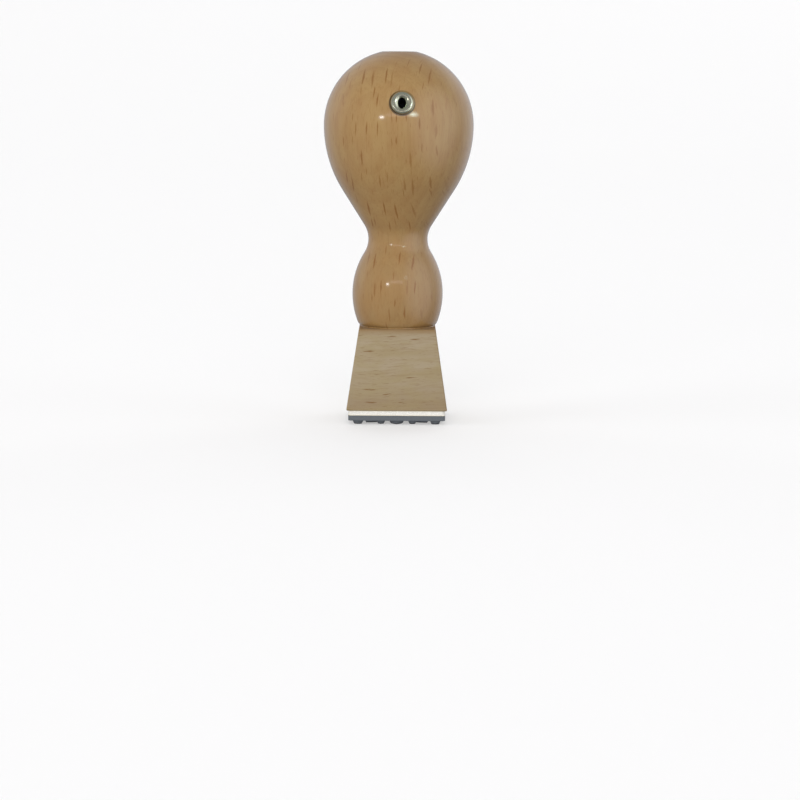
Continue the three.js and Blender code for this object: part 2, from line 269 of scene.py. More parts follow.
def join_runs(*runs):
    points = []
    for point in [p for run in runs for p in run]:
        if not points or (Vector(points[-1]) - Vector(point)).length > 1e-8:
            points.append(point)
    return points


def geometry_tree(name, output, inputs):
    """An empty Geometry Nodes tree, and the sockets of its inputs, which each have a name and a kind."""
    tree = bpy.data.node_groups.new(name, "GeometryNodeTree")
    for label, kind in inputs.items():
        tree.interface.new_socket(label, in_out="INPUT", socket_type="NodeSocket" + kind)
    tree.interface.new_socket(output, in_out="OUTPUT", socket_type="NodeSocketGeometry")
    return tree, tree.nodes.new("NodeGroupInput").outputs


def end_tree(tree, geometry, finish):
    """Makes what a Geometry Nodes tree has drawn real, and gives it its finish."""
    real = node(tree, "GeometryNodeRealizeInstances", {"Geometry": geometry}).outputs[0]
    finished = node(tree, "GeometryNodeSetMaterial", {"Geometry": real, "Material": finish}).outputs[0]
    node(tree, "NodeGroupOutput", {0: finished})


def lathe_tree():
    """Geometry Nodes that sweep a half profile, drawn in X and Y, round the Z axis."""
    tree, given = geometry_tree("turned_on_a_lathe", "Turned Piece", {
        "Half Profile": "Geometry", "Segments": "Int", "Rail Radius": "Float", "Weld Distance": "Float",
        "Finish": "Material"})
    inwards = node(tree, "ShaderNodeMath", {0: given["Rail Radius"], 1: -1.0},
                   operation="MULTIPLY").outputs[0]
    shift = node(tree, "ShaderNodeCombineXYZ", {"X": inwards}).outputs[0]
    profile = node(tree, "GeometryNodeMeshToCurve", {"Mesh": given["Half Profile"]}).outputs[0]
    # The sweep lays a profile's Y downwards, so it is turned over first
    profile = node(tree, "GeometryNodeTransform", {
        "Geometry": profile, "Translation": shift, "Scale": (1.0, -1.0, 1.0)}).outputs[0]
    rail = node(tree, "GeometryNodeCurvePrimitiveCircle", {
        "Resolution": given["Segments"], "Radius": given["Rail Radius"]}, mode="RADIUS").outputs[0]
    swept = node(tree, "GeometryNodeCurveToMesh", {"Curve": rail, "Profile Curve": profile}).outputs[0]
    welded = node(tree, "GeometryNodeMergeByDistance", {
        "Geometry": swept, "Distance": given["Weld Distance"]}).outputs[0]
    end_tree(tree, welded, given["Finish"])
    return tree


def set_inputs(modifier, **values):
    """Sets a Geometry Nodes modifier's inputs by their sockets' identifiers, before it is first evaluated."""
    for item in modifier.node_group.interface.items_tree:
        key = item.name.replace(" ", "_").lower()
        if item.in_out == "INPUT" and key in values:
            modifier[item.identifier] = values[key]


def turned(name, profile, segments, finish, closed=False):
    """A turned piece from its half profile of (radius, height) points."""
    points = [(x, y, 0.0) for x, y in profile]
    edges = [(i, i + 1) for i in range(len(points) - 1)]
    if closed:
        edges.append((len(points) - 1, 0))
    obj = new_object(name, points, edges, [])
    modifier = obj.modifiers.new("lathe", "NODES")
    modifier.node_group = LATHE
    set_inputs(modifier, segments=segments, rail_radius=20 * MM, weld_distance=0.001 * MM, finish=finish)
    apply_modifiers(obj)
    close_up(obj)
    return obj


# Materials

def new_material(name):
    material = bpy.data.materials.new(name)
    material.use_nodes = True
    tree = material.node_tree
    tree.nodes.clear()
    return material, tree


def beech(name, grain_turn, tones, lower_end, large_rays, finish):
    """Beech as a solid: rings, fibres, pores and rays lie in the wood, so every cut shows them as it should.

    The wood's own axes are X along the rings, Y across them and Z along the grain, in millimetres. The tones
    are the ground, its darker lower end, warmer clouds, the fibres' streaks and the rays, as hex colours, and
    the lower end lies between two heights in millimetres."""
    ground, low_ground, cloud, streak, ray = [linear(tone) for tone in tones]
    material, tree = new_material(name)
    surface = node(tree, "ShaderNodeTexCoord").outputs
    in_mm = node(tree, "ShaderNodeVectorMath", {0: surface["Object"], "Scale": 1 / MM},
                 operation="SCALE").outputs[0]
    axes = node(tree, "ShaderNodeMapping", {"Vector": in_mm, "Rotation": grain_turn}).outputs[0]

    def pattern(kind, source, size, inputs=None, **settings):
        """A texture drawn so that one of its cells measures size millimetres in the wood."""
        cells = node(tree, "ShaderNodeVectorMath", {0: source, 1: size}, operation="DIVIDE").outputs[0]
        return node(tree, kind, {"Vector": cells, "Scale": 1.0, **(inputs or {})}, **settings).outputs

    def strayed(source, size, reach):
        """Coordinates that stray by up to the reach in millimetres, over distances of the size."""
        stray = pattern("ShaderNodeTexNoise", source, size, {"Detail": 1.0})["Color"]
        stray = node(tree, "ShaderNodeVectorMath", {0: stray, 1: reach}, operation="MULTIPLY").outputs[0]
        return node(tree, "ShaderNodeVectorMath", {0: source, 1: stray}, operation="ADD").outputs[0]

    def laid(colour, tone, mask, low, high, most):
        """The colour with a tone laid over it: none where the mask is low, and the most where it is high."""
        amount = node(tree, "ShaderNodeMapRange", {
            "Value": mask, "From Min": low, "From Max": high, "To Max": most},
            interpolation_type="SMOOTHSTEP").outputs[0]
        return node(tree, "ShaderNodeMix", {0: amount, 6: colour, 7: tone}, data_type="RGBA").outputs[2]

    # The fibres wander by a millimetre or so over a couple of centimetres, and a ray's edges by a tenth
    wood = strayed(axes, (16.0, 16.0, 16.0), (2.6, 2.6, 0.0))
    ragged = strayed(wood, (0.5, 2.0, 1.4), (0.35, 0.0, 0.0))

    # Growth rings round a pith far off: each darkens slowly, and ends sharply
    from_pith = node(tree, "ShaderNodeVectorMath", {0: wood, 1: PITH}, operation="SUBTRACT").outputs[0]
    from_pith = node(tree, "ShaderNodeVectorMath", {0: from_pith, 1: (1.0, 1.0, 0.0)},
                     operation="MULTIPLY").outputs[0]
    years = node(tree, "ShaderNodeVectorMath", {0: from_pith}, operation="LENGTH").outputs["Value"]
    years = node(tree, "ShaderNodeMath", {0: years, 1: RING_SPACING}, operation="DIVIDE").outputs[0]
    late_wood = node(tree, "ShaderNodeMath", {0: years}, operation="FRACT").outputs[0]

    # Warmer clouds, fibres half a millimetre wide, and pores at twice their real width, so that they show
    clouds = pattern("ShaderNodeTexNoise", wood, (3.2, 4.0, 8.0), {"Detail": 2.0})["Fac"]
    fibres = pattern("ShaderNodeTexNoise", wood, (0.5, 0.5, 7.0), {"Detail": 3.0, "Roughness": 0.6})["Fac"]
    pores = pattern("ShaderNodeTexVoronoi", wood, (0.34, 0.34, 2.2))["Distance"]

    def rays(spacing, half_size, share, faintest):
        """The lens-shaped ends of rays, evenly strewn: a share of them show, none fainter than the faintest.

        A ray stands along the radius, so only X and Z place it. The half size is that of the largest."""
        split = node(tree, "ShaderNodeSeparateXYZ", {"Vector": ragged}).outputs
        flat = node(tree, "ShaderNodeCombineXYZ", {"X": split["X"], "Y": split["Z"]}).outputs[0]
        flat = node(tree, "ShaderNodeVectorMath", {0: flat, 1: (*spacing, 1.0)},
                    operation="DIVIDE").outputs[0]
        cells = node(tree, "ShaderNodeTexVoronoi", {"Vector": flat, "Scale": 1.0, "Randomness": 0.85},
                     voronoi_dimensions="2D").outputs
        lot = node(tree, "ShaderNodeSeparateColor", {"Color": cells["Color"]}).outputs
        away = node(tree, "ShaderNodeVectorMath", {0: flat, 1: cells["Position"]},
                    operation="SUBTRACT").outputs[0]
        in_halves = (spacing[0] / half_size[0], spacing[1] / half_size[1], 0.0)
        away = node(tree, "ShaderNodeVectorMath", {0: away, 1: in_halves}, operation="MULTIPLY").outputs[0]
        shrink = node(tree, "ShaderNodeMapRange", {
            "Value": lot["Green"], "To Min": 1.0, "To Max": 2.2}).outputs[0]
        away = node(tree, "ShaderNodeVectorMath", {0: away, "Scale": shrink}, operation="SCALE").outputs[0]
        away = node(tree, "ShaderNodeSeparateXYZ", {"Vector": away}).outputs
        across = node(tree, "ShaderNodeMath", {0: away["X"]}, operation="ABSOLUTE").outputs[0]
        depth = node(tree, "ShaderNodeMath", {0: away["Y"], 1: away["Y"], 2: across},
                     operation="MULTIPLY_ADD").outputs[0]
        chosen = node(tree, "ShaderNodeMath", {0: lot["Red"], 1: share}, operation="LESS_THAN").outputs[0]
        strength = node(tree, "ShaderNodeMapRange", {"Value": lot["Blue"], "To Min": faintest}).outputs[0]
        strength = node(tree, "ShaderNodeMath", {0: strength, 1: chosen}, operation="MULTIPLY").outputs[0]
        return node(tree, "ShaderNodeMapRange", {
            "Value": depth, "From Min": 1.1, "From Max": 0.2, "To Max": strength},
            interpolation_type="SMOOTHSTEP").outputs[0]

    large = rays(**large_rays)
    small = rays(**FINE_RAYS)

    # A ray that lies flat in a quarter-sawn face is a flake hardly darker than the ground, and one that is
    # cut across, in end grain, is a faint thin line
    facing = node(tree, "ShaderNodeMapping", {"Vector": surface["Normal"], "Rotation": grain_turn},
                  vector_type="NORMAL").outputs[0]
    facing = node(tree, "ShaderNodeVectorMath", {0: facing}, operation="ABSOLUTE").outputs[0]
    facing = node(tree, "ShaderNodeSeparateXYZ", {"Vector": facing}).outputs
    edge_on = node(tree, "ShaderNodeMapRange", {
        "Value": facing["X"], "From Min": 0.6, "From Max": 0.9, "To Min": 1.0, "To Max": 0.12}).outputs[0]
    end_grain = node(tree, "ShaderNodeMapRange", {
        "Value": facing["Z"], "From Min": 0.78, "From Max": 0.98}, interpolation_type="SMOOTHSTEP").outputs[0]
    side_grain = node(tree, "ShaderNodeMapRange", {
        "Value": end_grain, "To Min": 1.0, "To Max": 0.15}).outputs[0]
    for share in (edge_on, side_grain):
        large = node(tree, "ShaderNodeMath", {0: large, 1: share}, operation="MULTIPLY").outputs[0]
    rings = node(tree, "ShaderNodeMath", {0: late_wood, 1: end_grain}, operation="MULTIPLY").outputs[0]

    # The layers from the ground up: tone, mask, where the mask is low and high, and the most of the tone
    height = node(tree, "ShaderNodeSeparateXYZ", {"Vector": in_mm}).outputs["Z"]
    colour = ground
    for layer in (
        (low_ground, height, *lower_end, 1.0),
        (cloud, clouds, 0.3, 0.7, 0.7),
        (streak, fibres, 0.45, 0.75, 0.35),
        (streak, late_wood, 0.3, 1.0, 0.15),
        (streak, rings, 0.2, 1.0, 0.4),
        (streak, end_grain, 0.0, 1.0, 0.3),
        (ray, pores, 0.26, 0.1, 0.2),
        (ray, small, 0.0, 1.0, 0.35),
        (ray, large, 0.0, 1.0, 0.85),
    ):
        colour = laid(colour, *layer)
    relief = node(tree, "ShaderNodeMath", {0: large, 1: -0.4, 2: fibres}, operation="MULTIPLY_ADD").outputs[0]
    finish(tree, colour, relief, in_mm)
    return material


def lacquered(tree, colour, relief, in_mm):
    """Clear gloss lacquer: the wood is smooth and rather deep in tone under a sharp, slightly uneven coat.

    A dark line of painted shade lies in the corner round the front mark, where the wood meets it."""
    mark_middle = mark_matrix().translation / MM
    away = node(tree, "ShaderNodeVectorMath", {0: in_mm, 1: mark_middle},
                operation="DISTANCE").outputs["Value"]
    # Painted shade: the wood is darkened into the corner round the front mark
    begins, full = PAINTED_SHADE_LINE
    painted_shade_mix = node(tree, "ShaderNodeMapRange", {
        "Value": away, "From Min": begins, "From Max": full, "To Max": 0.8},
        interpolation_type="SMOOTHSTEP").outputs[0]
    colour = node(tree, "ShaderNodeMix", {0: painted_shade_mix, 6: colour, 7: linear("#33291a")},
                  data_type="RGBA").outputs[2]
    peel = node(tree, "ShaderNodeTexNoise", {"Vector": in_mm, "Scale": 0.5, "Detail": 1.0}).outputs["Fac"]
    grain_bump = node(tree, "ShaderNodeBump", {"Height": relief, "Strength": 0.15, "Distance": 0.03 * MM})
    coat_bump = node(tree, "ShaderNodeBump", {"Height": peel, "Strength": 0.1, "Distance": 0.06 * MM})
    surface = node(tree, "ShaderNodeBsdfPrincipled", {
        "Base Color": colour, "Roughness": 0.45, "IOR": 1.5, "Specular IOR Level": 0.2,
        "Normal": grain_bump.outputs[0], "Coat Weight": 1.0, "Coat Roughness": 0.12, "Coat IOR": 1.5,
        "Coat Normal": coat_bump.outputs[0]})
    node(tree, "ShaderNodeOutputMaterial", {"Surface": surface.outputs[0]})


def bare(tree, colour, relief, in_mm):
    """Sanded bare wood: dull and pale, with the fibres just raised and faint sanding lines along the grain.

    Its top edge is painted browner, as the warm shade under the handle's foot."""
    place = node(tree, "ShaderNodeSeparateXYZ", {"Vector": in_mm}).outputs["Z"]
    # Painted shade: the top edge darkens to a warm brown under the handle's foot
    low, high = FOOT_SHADE_BAND
    painted_foot_shade = node(tree, "ShaderNodeMapRange", {
        "Value": place, "From Min": low, "From Max": high, "To Max": 0.8},
        interpolation_type="SMOOTHSTEP").outputs[0]
    colour = node(tree, "ShaderNodeMix", {0: painted_foot_shade, 6: colour, 7: linear("#7a5c38")},
                  data_type="RGBA").outputs[2]
    sanded = node(tree, "ShaderNodeMapping", {"Vector": in_mm, "Scale": (0.12, 5.0, 5.0)}).outputs[0]
    sanded = node(tree, "ShaderNodeTexNoise", {"Vector": sanded, "Scale": 1.0, "Detail": 2.0}).outputs["Fac"]
    height = node(tree, "ShaderNodeMath", {0: sanded, 1: 0.6, 2: relief}, operation="MULTIPLY_ADD").outputs[0]
    bump = node(tree, "ShaderNodeBump", {"Height": height, "Strength": 0.5, "Distance": 0.05 * MM})
    surface = node(tree, "ShaderNodeBsdfPrincipled", {
        "Base Color": colour, "Roughness": 0.68, "IOR": 1.45, "Specular IOR Level": 0.3,
        "Normal": bump.outputs[0]})
    node(tree, "ShaderNodeOutputMaterial", {"Surface": surface.outputs[0]})


def make_nickel():
    """Nickel plate on a drawn eyelet: bright, faintly yellow, and unevenly hazed by handling."""
    material, tree = new_material("nickel_plate_polished")
    place = node(tree, "ShaderNodeTexCoord").outputs["Object"]
    haze = node(tree, "ShaderNodeTexNoise", {
        "Vector": place, "Scale": 1.2 / MM, "Detail": 3.0}).outputs["Fac"]
    roughness = node(tree, "ShaderNodeMapRange", {"Value": haze, "To Min": 0.1, "To Max": 0.24}).outputs[0]
    surface = node(tree, "ShaderNodeBsdfPrincipled", {
        "Base Color": linear("#c3c5ae"), "Metallic": 1.0, "Roughness": roughness})
    node(tree, "ShaderNodeOutputMaterial", {"Surface": surface.outputs[0]})
    return material


def make_bore_painted_shade():
    """The eyelet's bore, and the wood's hole below it: dark painted shade, so the hole reads as a deep dark
    hole.
    """
    material, tree = new_material("eyelet_bore_blackened")
    place = node(tree, "ShaderNodeTexCoord").outputs["Object"]
    painted_shade_mix = node(tree, "ShaderNodeTexNoise", {
        "Vector": place, "Scale": 2.0 / MM, "Detail": 2.0}).outputs["Fac"]
    colour = node(tree, "ShaderNodeMix", {0: painted_shade_mix, 6: linear("#11151d"), 7: linear("#20242d")},
                  data_type="RGBA").outputs[2]
    surface = node(tree, "ShaderNodeBsdfPrincipled", {"Base Color": colour, "Roughness": 0.6})
    node(tree, "ShaderNodeOutputMaterial", {"Surface": surface.outputs[0]})
    return material


def make_zinc():
    """Blue zinc plate on steel: satin, a little cloudy."""
    material, tree = new_material("zinc_plated_steel")
    place = node(tree, "ShaderNodeTexCoord").outputs["Object"]
    cloud = node(tree, "ShaderNodeTexNoise", {
        "Vector": place, "Scale": 0.6 / MM, "Detail": 3.0}).outputs["Fac"]
    colour = node(tree, "ShaderNodeMix", {0: cloud, 6: linear("#a7abb0"), 7: linear("#c3c6c8")},
                  data_type="RGBA").outputs[2]
    surface = node(tree, "ShaderNodeBsdfPrincipled", {
        "Base Color": colour, "Metallic": 1.0, "Roughness": 0.34})
    node(tree, "ShaderNodeOutputMaterial", {"Surface": surface.outputs[0]})
    return material


def make_tape():
    """Clear tissue tape with acrylic adhesive: a pale line with a slight yellow cast."""
    material, tree = new_material("tissue_tape_acrylic")
    place = node(tree, "ShaderNodeTexCoord").outputs["Object"]
    fleece = node(tree, "ShaderNodeTexNoise", {
        "Vector": place, "Scale": 1.5 / MM, "Detail": 4.0}).outputs["Fac"]
    colour = node(tree, "ShaderNodeMix", {0: fleece, 6: linear("#cfc6ac"), 7: linear("#ded7c2")},
                  data_type="RGBA").outputs[2]
    surface = node(tree, "ShaderNodeBsdfPrincipled", {"Base Color": colour, "Roughness": 0.4, "IOR": 1.47})
    node(tree, "ShaderNodeOutputMaterial", {"Surface": surface.outputs[0]})
    return material


def make_foam_material():
    """Closed-cell polyethylene foam: white, dull, with cut cells about 0.25 mm across."""
    material, tree = new_material("polyethylene_foam_white")
    place = node(tree, "ShaderNodeTexCoord").outputs["Object"]
    cells = node(tree, "ShaderNodeTexVoronoi", {"Vector": place, "Scale": 4.0 / MM}).outputs["Distance"]
    colour = node(tree, "ShaderNodeMix", {0: cells, 6: linear("#c9c6bd"), 7: linear("#e6e3da")},
                  data_type="RGBA").outputs[2]
    bump = node(tree, "ShaderNodeBump", {"Height": cells, "Strength": 0.8, "Distance": 0.08 * MM})
    surface = node(tree, "ShaderNodeBsdfPrincipled", {
        "Base Color": colour, "Roughness": 0.9, "Normal": bump.outputs[0]})
    node(tree, "ShaderNodeOutputMaterial", {"Surface": surface.outputs[0]})
    return material


def make_rubber():
    """Grey engraving rubber: the laser leaves it matt and finely lined, and ink stains its printing faces."""
    material, tree = new_material("engraving_rubber_grey")
    place = node(tree, "ShaderNodeTexCoord").outputs["Object"]
    height = node(tree, "ShaderNodeSeparateXYZ", {"Vector": place}).outputs["Z"]
    grit = node(tree, "ShaderNodeTexNoise", {
        "Vector": place, "Scale": 3.0 / MM, "Detail": 3.0}).outputs["Fac"]
    rubber = node(tree, "ShaderNodeMix", {0: grit, 6: linear("#4c5053"), 7: linear("#5f6366")},
                  data_type="RGBA").outputs[2]
    inked = node(tree, "ShaderNodeMapRange",
                 {"Value": height, "From Min": 0.3 * MM, "From Max": 0.1 * MM}).outputs[0]
    colour = node(tree, "ShaderNodeMix", {0: inked, 6: rubber, 7: linear("#17181b")},
                  data_type="RGBA").outputs[2]
    lines = node(tree, "ShaderNodeTexWave", {"Vector": place, "Scale": 2.5 / MM, "Distortion": 1.0},
                 bands_direction="Y").outputs["Fac"]
    relief = node(tree, "ShaderNodeMath", {0: lines, 1: 0.5, 2: grit}, operation="MULTIPLY_ADD").outputs[0]
    bump = node(tree, "ShaderNodeBump", {"Height": relief, "Strength": 0.4, "Distance": 0.03 * MM})
    surface = node(tree, "ShaderNodeBsdfPrincipled", {
        "Base Color": colour, "Roughness": 0.72, "IOR": 1.52, "Normal": bump.outputs[0]})
    node(tree, "ShaderNodeOutputMaterial", {"Surface": surface.outputs[0]})
    return material


# Pieces

def handle_profile():
    """The handle's half profile, of arcs that touch, from the pilot hole round to the crown."""
    hollow_x = WAIST_RADIUS + WAIST_HOLLOW
    flank_x = hollow_x - WAIST_HOLLOW * cos(FLANK_ANGLE)
    flank_y = WAIST_HEIGHT + WAIST_HOLLOW * sin(FLANK_ANGLE)
    lean = tan(FLANK_ANGLE)
    under_curve = ((BULB_RADIUS - flank_x - lean * (BULB_HEIGHT - flank_y))
                   / (1 - cos(FLANK_ANGLE) - lean * sin(FLANK_ANGLE)))
    rise = WAIST_HEIGHT - BELLY_HEIGHT
    swell = BELLY_RADIUS - WAIST_RADIUS
    upper_curve = (swell ** 2 + rise ** 2) / (2 * swell) - WAIST_HOLLOW
    belly_turn = asin(rise / (upper_curve + WAIST_HOLLOW))
    lower_x = BELLY_RADIUS - BELLY_LOWER_CURVE
    foot_flat = lower_x + sqrt((BELLY_LOWER_CURVE - FOOT_CORNER) ** 2 - (BELLY_HEIGHT - FOOT_CORNER) ** 2)
    foot_turn = atan2(BELLY_HEIGHT - FOOT_CORNER, foot_flat - lower_x)
    crown_turn = acos(CROWN_FLAT_RADIUS / BULB_RADIUS)
    crown_edge = 0.6 * MM
    crown_height = BULB_HEIGHT + BULB_RADIUS * sin(crown_turn)
    step = 0.45 * MM
    profile = join_runs(
        [(0.0, PILOT_DEPTH + PILOT_RADIUS / 2), (PILOT_RADIUS, PILOT_DEPTH), (PILOT_RADIUS, 0.0)],
        [(foot_flat + FOOT_CORNER * sin(FOOT_BEAD), 0.0)],
        arc(foot_flat, FOOT_CORNER, FOOT_CORNER, FOOT_BEAD - pi / 2, -foot_turn, step),
        arc(lower_x, BELLY_HEIGHT, BELLY_LOWER_CURVE, -foot_turn, 0, step),
        arc(BELLY_RADIUS - upper_curve, BELLY_HEIGHT, upper_curve, 0, belly_turn, step),
        arc(hollow_x, WAIST_HEIGHT, WAIST_HOLLOW, pi + belly_turn, pi - FLANK_ANGLE, step),
        arc(BULB_RADIUS - under_curve, BULB_HEIGHT, under_curve, -FLANK_ANGLE, 0, step),
        arc(0, BULB_HEIGHT, BULB_RADIUS, 0, crown_turn, step),
        [(CROWN_FLAT_RADIUS - crown_edge, crown_height), (0.0, crown_height)],
    )
    return [(x, y + HANDLE_LOW.z) for x, y in profile]


def towards(azimuth, elevation):
    """A direction from the stamp: azimuth 0 is the front, and positive is to the right."""
    return Vector((sin(azimuth) * cos(elevation), -cos(azimuth) * cos(elevation), sin(elevation)))


def mark_matrix():
    """The front mark's frame: its Z is the axis of its hole, drilled more level than the bulb's own slope."""
    centre = Vector((0, 0, HANDLE_LOW.z + BULB_HEIGHT))
    centre += towards(MARK_TURN, MARK_LATITUDE) * (BULB_RADIUS - MARK_SUNK)
    axis = towards(MARK_AXIS_TURN, MARK_AXIS_RISE)
    return Matrix.Translation(centre) @ Vector((0, 0, 1)).rotation_difference(axis).to_matrix().to_4x4()


def press_in(obj, painted_shade, depth):
    """Puts the mark, or the shape that cuts its seat, in its place, with painted shade on its barrel below a
    depth.

    Pressing it in has squeezed the barrel from the sides, so its bore is a tall oval."""
    obj.data.materials.append(painted_shade)
    # Faces below the depth take the painted shade that stands for the dark inside the hole
    for face in obj.data.polygons:
        if face.center.z < -depth:
            face.material_index = 1
    for vertex in obj.data.vertices:
        inwards = (MARK_LAND_INNER - vertex.co.xy.length) / MARK_THROAT_ROUND
        share = min(1.0, max(0.0, inwards))
        vertex.co.x *= 1 - BORE_NARROWED * share
        vertex.co.y *= 1 + BORE_RAISED * share
    obj.data.transform(mark_matrix())


def make_handle(material, painted_shade):
    handle = turned("turned_handle", handle_profile(), HANDLE_SEGMENTS, material)
    bore = MARK_LAND_INNER - MARK_THROAT_ROUND + MARK_WALL + SEAT_FIT
    foot, shoulder = mark_skin(0.0)[:2]
    lip = shoulder[0] + SEAT_LIP_PLAY
    seat = turned("mark_seat", [
        (0.0, -MARK_LENGTH - MARK_SEAT), (bore, -MARK_LENGTH - MARK_SEAT), (bore, -MARK_SEAT),
        (foot[0] + SEAT_FIT, -MARK_SEAT), (lip, shoulder[1]), (lip, MARK_HEIGHT), (0.0, MARK_HEIGHT),
    ], SMALL_SEGMENTS, material)
    press_in(seat, painted_shade, MARK_SEAT)
    # The seat's deep faces give the wood's hole the same painted shade
    handle.data.materials.append(painted_shade)
    boolean(handle, seat, "DIFFERENCE")
    close_up(handle)
    return handle


def mark_skin(wall):
    """One side of the mark's sheet, so deep in its wall: up the flank, over the land and down the bore."""
    step = 0.04 * MM
    edge = arc(MARK_LAND_OUTER, MARK_HEIGHT - MARK_EDGE_ROUND, MARK_EDGE_ROUND - wall,
               pi / 2 - MARK_FLANK_ANGLE, pi / 2, step)
    throat = arc(MARK_LAND_INNER, MARK_HEIGHT - MARK_THROAT_ROUND, MARK_THROAT_ROUND - wall,
                 pi / 2, pi, step)
    flank_foot = (edge[0][0] + (edge[0][1] + MARK_SEAT) / tan(MARK_FLANK_ANGLE), -MARK_SEAT)
    return join_runs([flank_foot], edge, throat, [(throat[-1][0], -MARK_LENGTH)])


def make_mark(metal, painted_shade):
    """An eyelet rolled from one sheet: it slopes up from the wood to a flat land and turns into its bore."""
    section = mark_skin(0.0) + mark_skin(MARK_WALL)[::-1]
    mark = turned("rolled_front_mark", section, RING_SEGMENTS, metal, closed=True)
    press_in(mark, painted_shade, MARK_UNSHADED_BARREL)
    return mark


def make_block(material):
    """The tapered block, with softly broken edges."""
    levels = [(BLOCK_BASE_HALF, BLOCK_LOW.z), (BLOCK_TOP_HALF, BLOCK_HIGH.z)]
    corners = [(x * half, y * half, z) for half, z in levels for x, y in SQUARE]
    faces = [(3, 2, 1, 0), (4, 5, 6, 7), (0, 1, 5, 4), (1, 2, 6, 5), (2, 3, 7, 6), (3, 0, 4, 7)]
    block = new_object("tapered_block", corners, [], faces)
    block.data.materials.append(material)
    edges = block.modifiers.new("broken_edges", "BEVEL")
    edges.width = BROKEN_EDGE
    edges.segments = 4
    apply_modifiers(block)
    hole, mouth = SCREW_HOLE_RADIUS, COUNTERSINK_RADIUS
    past = 1 * MM
    drill = turned("drill", [
        (0.0, BLOCK_LOW.z - past), (mouth + past, BLOCK_LOW.z - past), (hole, BLOCK_LOW.z + mouth - hole),
        (hole, BLOCK_HIGH.z + past), (0.0, BLOCK_HIGH.z + past)], SMALL_SEGMENTS, material)
    boolean(block, drill, "DIFFERENCE")
    close_up(block, sharp_angle=radians(28))
    return block


def copies_tree():
    """Geometry Nodes that set copies of a mesh evenly round a circle, each turned with it."""
    tree, given = geometry_tree("copies_round_a_circle", "Copied", {
        "Shape": "Geometry", "Copies": "Int", "Circle Radius": "Float", "First Turn": "Float",
        "Finish": "Material"})
    points = node(tree, "GeometryNodePoints", {"Count": given["Copies"]}).outputs[0]
    step = node(tree, "ShaderNodeMath", {0: 2 * pi, 1: given["Copies"]}, operation="DIVIDE").outputs[0]
    index = tree.nodes.new("GeometryNodeInputIndex").outputs[0]
    turn = node(tree, "ShaderNodeMath", {0: index, 1: step, 2: given["First Turn"]},
                operation="MULTIPLY_ADD").outputs[0]
    turn = node(tree, "ShaderNodeCombineXYZ", {"Z": turn}).outputs[0]
    out = node(tree, "ShaderNodeCombineXYZ", {"Y": given["Circle Radius"]}).outputs[0]
    moved = node(tree, "GeometryNodeTransform", {
        "Geometry": given["Shape"], "Translation": out}).outputs[0]
    placed = node(tree, "GeometryNodeInstanceOnPoints", {
        "Points": points, "Instance": moved, "Rotation": turn}).outputs[0]
    end_tree(tree, placed, given["Finish"])
    return tree


def copied(shape, copies, radius, first_turn, finish):
    """A shape that stands on the circle's axis, as copies round the circle."""
    modifier = shape.modifiers.new("copies", "NODES")
    modifier.node_group = COPIES
    set_inputs(modifier, copies=copies, circle_radius=radius, first_turn=first_turn, finish=finish)
    apply_modifiers(shape)
    return shape


def thread_tree():
    """Geometry Nodes for a screw thread: a ridge that winds up the core and runs out towards the point."""
    tree, given = geometry_tree("screw_thread", "Thread", {
        "Ridge": "Geometry", "Turns": "Float", "Core Radius": "Float", "Thread Length": "Float",
        "Point Length": "Float", "Finish": "Material"})
    path = node(tree, "GeometryNodeCurveSpiral", {
        "Resolution": 32, "Rotations": given["Turns"], "Start Radius": given["Core Radius"],
        "End Radius": given["Core Radius"], "Height": given["Thread Length"]}).outputs[0]
    place = tree.nodes.new("GeometryNodeInputPosition").outputs[0]
    height = node(tree, "ShaderNodeSeparateXYZ", {"Vector": place}).outputs["Z"]
    # Over the point the path narrows with the core, to an eighth of its radius
    left = node(tree, "ShaderNodeMath", {0: given["Thread Length"], 1: height},
                operation="SUBTRACT").outputs[0]
    taper = node(tree, "ShaderNodeMapRange", {
        "Value": left, "From Max": given["Point Length"], "To Min": 0.12}).outputs[0]
    narrowed = node(tree, "ShaderNodeCombineXYZ", {"X": taper, "Y": taper, "Z": 1.0}).outputs[0]
    narrowed = node(tree, "ShaderNodeVectorMath", {0: place, 1: narrowed}, operation="MULTIPLY").outputs[0]
    path = node(tree, "GeometryNodeSetPosition", {"Geometry": path, "Position": narrowed}).outputs[0]
    ridge = node(tree, "GeometryNodeMeshToCurve", {"Mesh": given["Ridge"]}).outputs[0]
    swept = node(tree, "GeometryNodeCurveToMesh", {
        "Curve": path, "Profile Curve": ridge, "Fill Caps": True}).outputs[0]
    end_tree(tree, swept, given["Finish"])
    return tree


def lofted(name, outlines, material):
    """A closed solid through level outlines, from the lowest up, each a list of points and a height."""
    count = len(outlines[0][0])
    points = [(x, y, z) for outline, z in outlines for x, y in outline]
    faces = [tuple(reversed(range(count)))]
    for level in range(len(outlines) - 1):
        for i in range(count):
            a, b = level * count + i, level * count + (i + 1) % count
            faces.append((a, b, b + count, a + count))
    faces.append(tuple(range(len(points) - count, len(points))))
    obj = new_object(name, points, [], faces)
    obj.data.materials.append(material)
    return obj


def rounded_square(side, corner, straight_steps=1, corner_steps=8):
    """Counter-clockwise outline, with as many points on each straight as are asked for."""
    inset = side / 2 - corner
    corners = [[(x * inset + corner * cos(a), y * inset + corner * sin(a))
                for a in (pi / 2 * (i + t / corner_steps) for t in range(corner_steps + 1))]
               for i, (x, y) in enumerate(((1, 1), (-1, 1), (-1, -1), (1, -1)))]
    outline = []
    for i, run in enumerate(corners):
        (x0, y0), (x1, y1) = run[-1], corners[(i + 1) % 4][0]
        outline += run
        outline += [(x0 + (x1 - x0) * t / straight_steps, y0 + (y1 - y0) * t / straight_steps)
                    for t in range(1, straight_steps)]
    return outline


def take_in(target, other):
    """Makes another object's closed shell a part of the target."""
    work = bmesh.new()
    work.from_mesh(target.data)
    work.from_mesh(other.data)
    bpy.data.objects.remove(other)
    work.to_mesh(target.data)
    work.free()


